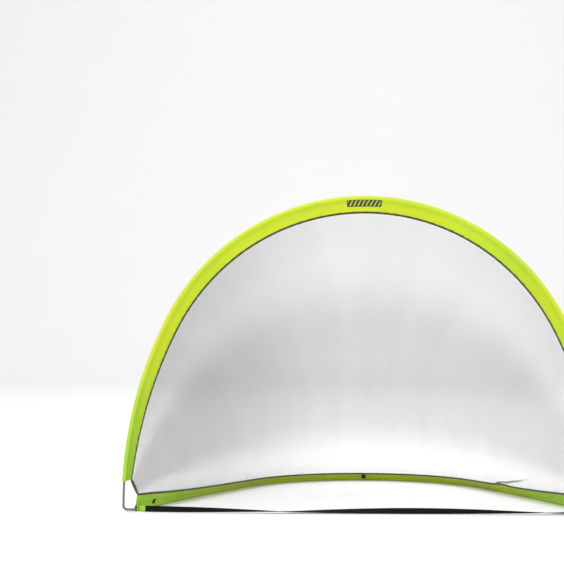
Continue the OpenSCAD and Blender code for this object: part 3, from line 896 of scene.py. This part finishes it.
def peg_loop(name, node, d):
    """A loop of webbing on edge, drawn at a rod's point d: two layers in the neck, open round the peg."""
    (at,), (way,), _, _ = ground(np.array([d]))
    radial, sideways = np.cross(UP, way), way * -1
    neck = 0.004
    centre = np.array([at[0], at[1], LOOP_W / 2]) + radial * (SLEEVE_R + GAP + neck + EYE_R)
    mid_r = EYE_R - WEBBING_T / 2
    open_turn = math.radians(158)
    turns = np.linspace(-open_turn, open_turn, 61)
    loop = np.stack([mid_r * np.cos(turns), mid_r * np.sin(turns)], -1)
    neck_x = np.linspace(-EYE_R - neck, loop[0, 0] - 0.0006, 8)
    neck_y = np.interp(neck_x, [neck_x[0], neck_x[3], neck_x[-1]], [0.0008, 0.0009, abs(loop[0, 1]) * 0.92])
    path = np.vstack([np.stack([neck_x, -neck_y], -1), loop, np.stack([neck_x, neck_y], -1)[::-1]])
    run = np.concatenate([[0], np.cumsum(np.linalg.norm(np.diff(path, axis=0), axis=1))])
    tangent = np.gradient(path, axis=0)
    tangent /= np.linalg.norm(tangent, axis=1, keepdims=True)
    points = centre + path[:, 0:1] * radial + path[:, 1:2] * sideways
    side_way = tangent[:, 0:1] * radial + tangent[:, 1:2] * sideways
    profile = strip_profile(-LOOP_W / 2 + 0.0001, LOOP_W / 2 - 0.0001, WEBBING_T / 2, 0.5, 2)
    ups = np.broadcast_to(UP, side_way.shape)
    rings = placed(profile, points, side_way, ups, np.cross(side_way, ups))
    made = solid_sweep(name, rings, run, profile)
    wear(made, WEBBING)
    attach(made, "ground_frame")
    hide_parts(node)
    bars = []
    for side in (-1, 1):
        for k in range(9):
            bars.append(centre + radial * (-EYE_R - 0.35 * neck) + sideways * side * 0.0017
                        + UP * (-0.0044 + 0.0011 * k))
    tack = stitch_mesh(f"{name}_tack", bars, np.broadcast_to(radial, (18, 3)),
                       np.array([sideways * -1] * 9 + [sideways] * 9), min(0.0030, neck), 0.0006)
    wear(tack, DARK_THREAD)
    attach(tack, "ground_frame")


for name, d, _ in LOOPS:
    peg_loop(f"{name}_peg_webbing", f"{name}_peg_loop", d)

TOP_NEAR = [[0.0031, 0.0051], [0.0061, 0.0040], [0.0132, 0.0014], [0.0220, 0.0013]]
label = ground_pad("top_woven_patch", "top_patch", 0.0, 0.045, TOP_NEAR,
                   0.0008, side=-1.0, curve=arch, material=PATCH, rounds=20, edge_of=0.003)
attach(label, "front_arch")


# ---------------------------------------------------------------- floor, light and camera
def floor_and_backdrop():
    """A pale floor that curves up into a pale wall."""
    y = np.concatenate([[-9.0], np.linspace(-2, 4, 7), 6 + 3 * np.sin(np.linspace(0, 1, 25) * math.pi / 2), [9.0]])
    z = np.concatenate([np.zeros(8), 3 - 3 * np.cos(np.linspace(0, 1, 25) * math.pi / 2), [9.0]])
    points = np.array([[x, b, c] for b, c in zip(y, z) for x in (-14.0, 14.0)])
    made = add_mesh("pale_floor", points, grid(len(y), 2, flip=True))
    s = Shader("pale_paper")
    tone = s.mix(s.ramp(s.noise(3, 2), 0.4, 0.6), (0.80, 0.80, 0.80), (0.805, 0.805, 0.805))
    made.data.materials.append(s.finish(color=tone, rough=0.9, specular=0.1))


def area_light(name, at, aim, size, power):
    data = bpy.data.lights.new(name, "AREA")
    data.shape, data.size, data.energy = "DISK", size, power
    lamp = bpy.data.objects.new(name, data)
    lamp.location = at
    lamp.rotation_mode = "QUATERNION"
    lamp.rotation_quaternion = (Vector(aim) - Vector(at)).to_track_quat("-Z", "Y")
    bpy.context.scene.collection.objects.link(lamp)


floor_and_backdrop()
area_light("key", (-2.2, -3.2, 3.4), (0, 0, 0.3), 2.4, 85)
area_light("fill", (3.0, -2.6, 2.2), (0, 0, 0.3), 2.6, 45)
area_light("low_front", (-0.8, -4.8, 1.1), (0, 0.2, 0.0), 1.2, 60)
area_light("top", (0, 0.8, 4.2), (0, 0.4, 0), 3.5, 50)
area_light("wall_wash", (0, 3.0, 5.5), (0, 7.5, 1.5), 4.0, 108)
world = bpy.data.worlds.new("studio")
world.use_nodes = True
world.node_tree.nodes["Background"].inputs["Color"].default_value = (1.0, 1.0, 1.0, 1.0)
world.node_tree.nodes["Background"].inputs["Strength"].default_value = 0.86
bpy.context.scene.world = world
bpy.context.scene.view_settings.view_transform = "Standard"

camera_data = bpy.data.cameras.new("camera")
camera_data.lens, camera_data.sensor_width = 101.7, 36.0
camera = bpy.data.objects.new("camera", camera_data)
camera.location = (-0.0155, MOUTH_Y - 4.0, 0.5317)
camera.rotation_euler = (math.radians(90.673), 0.0, math.radians(2.738))
bpy.context.scene.collection.objects.link(camera)
bpy.context.scene.camera = camera
